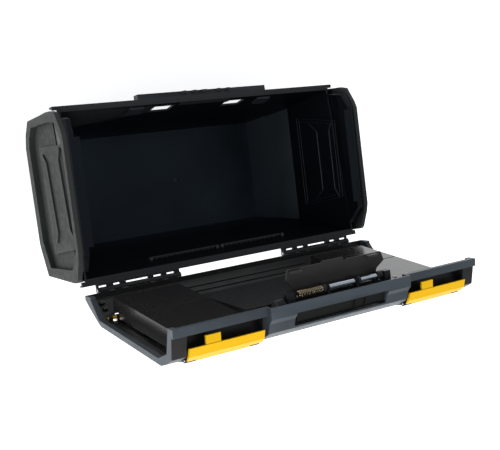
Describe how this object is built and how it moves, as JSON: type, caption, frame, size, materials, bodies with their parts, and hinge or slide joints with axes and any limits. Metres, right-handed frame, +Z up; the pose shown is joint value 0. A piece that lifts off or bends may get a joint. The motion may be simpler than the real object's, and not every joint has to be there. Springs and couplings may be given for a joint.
{
  "type": "toolbox",
  "caption": "Deep toolbox with a hinged organizer lid standing open, sprung centre latch, covered bins with clip latches and a fold-down carry handle.",
  "frame": {"origin": "middle of the underside of the tub, on the ground", "axes": "+X along the hinge, +Y towards the hinge side, -Y towards the latch side, +Z up"},
  "size_m": [0.595, 0.3942, 0.5237],
  "materials": {
    "tub_plastic": "fine textured",
    "cap_plastic": "grained",
    "catch_plastic": "satin",
    "lid_plastic": "satin",
    "bin_plastic": "semi gloss",
    "cover_plastic": "semi gloss",
    "yellow_plastic": "gloss",
    "steel": "bright",
    "chrome": "polished",
    "spring_wire": "plated",
    "latch_plastic": "satin",
    "dark_plastic": "satin",
    "grip_rubber": "soft"
  },
  "bodies": {
    "tub": {"tub": "tub_plastic", "end_cap_right": "cap_plastic", "end_cap_left": "cap_plastic", "tray_rests": "tub_plastic", "catch_rail": "catch_plastic", "tub_hinge_right": "tub_plastic", "tub_hinge_left": "tub_plastic", "hinge_pin_right": "steel", "hinge_pin_left": "steel"},
    "lid": {"lid_frame": "lid_plastic", "lid_hinge_right": "lid_plastic", "lid_hinge_left": "lid_plastic", "bin_right": "bin_plastic", "bin_left": "bin_plastic", "divider_right": "bin_plastic", "divider_left": "bin_plastic", "cover_pin_right": "yellow_plastic", "cover_pin_left": "yellow_plastic", "latch_spring": "spring_wire", "rod_bracket_right": "latch_plastic", "rod_bracket_left": "latch_plastic", "bracket_screws": "steel", "handle_pin_right": "steel", "handle_pin_left": "steel"},
    "cover_right": {"cover_right": "cover_plastic", "latch_pin_right": "steel"},
    "cover_left": {"cover_left": "cover_plastic", "latch_pin_left": "steel"},
    "cover_latch_right": {"cover_latch_right": "yellow_plastic"},
    "cover_latch_left": {"cover_latch_left": "yellow_plastic"},
    "main_latch": {"latch_rod": "chrome", "rod_collar": "dark_plastic", "hook_plate": "latch_plastic", "pull_paddle": "dark_plastic"},
    "handle": {"carry_handle": "dark_plastic", "handle_grip": "grip_rubber"}
  },
  "joints": [
    {"name": "lid_hinge", "type": "hinge", "parent": "tub", "child": "lid", "pos_m": [0, 0.15396, 0.21692], "axis": [1, 0, 0], "range_deg": [0, 100.4]},
    {"name": "cover_right_hinge", "type": "hinge", "parent": "lid", "child": "cover_right", "pos_m": [0, 0.19198, 0.27176], "axis": [-1, 0, 0], "range_deg": [0, 95]},
    {"name": "cover_latch_right_hinge", "type": "hinge", "parent": "cover_right", "child": "cover_latch_right", "pos_m": [0, 0.2319, 0.49058], "axis": [-1, 0, 0], "range_deg": [0, 70]},
    {"name": "cover_left_hinge", "type": "hinge", "parent": "lid", "child": "cover_left", "pos_m": [0, 0.19198, 0.27176], "axis": [-1, 0, 0], "range_deg": [0, 95]},
    {"name": "cover_latch_left_hinge", "type": "hinge", "parent": "cover_left", "child": "cover_latch_left", "pos_m": [0, 0.2319, 0.49058], "axis": [-1, 0, 0], "range_deg": [0, 70]},
    {"name": "main_latch_pivot", "type": "hinge", "parent": "lid", "child": "main_latch", "pos_m": [0, 0.17504, 0.49816], "axis": [1, 0, 0], "range_deg": [0, 12], "stiffness_Nm_per_rad": 0.6, "springref_deg": -17.19},
    {"name": "handle_pivot", "type": "hinge", "parent": "lid", "child": "handle", "pos_m": [0, 0.21631, 0.42219], "axis": [1, 0, 0], "range_deg": [0, 90]}
  ]
}
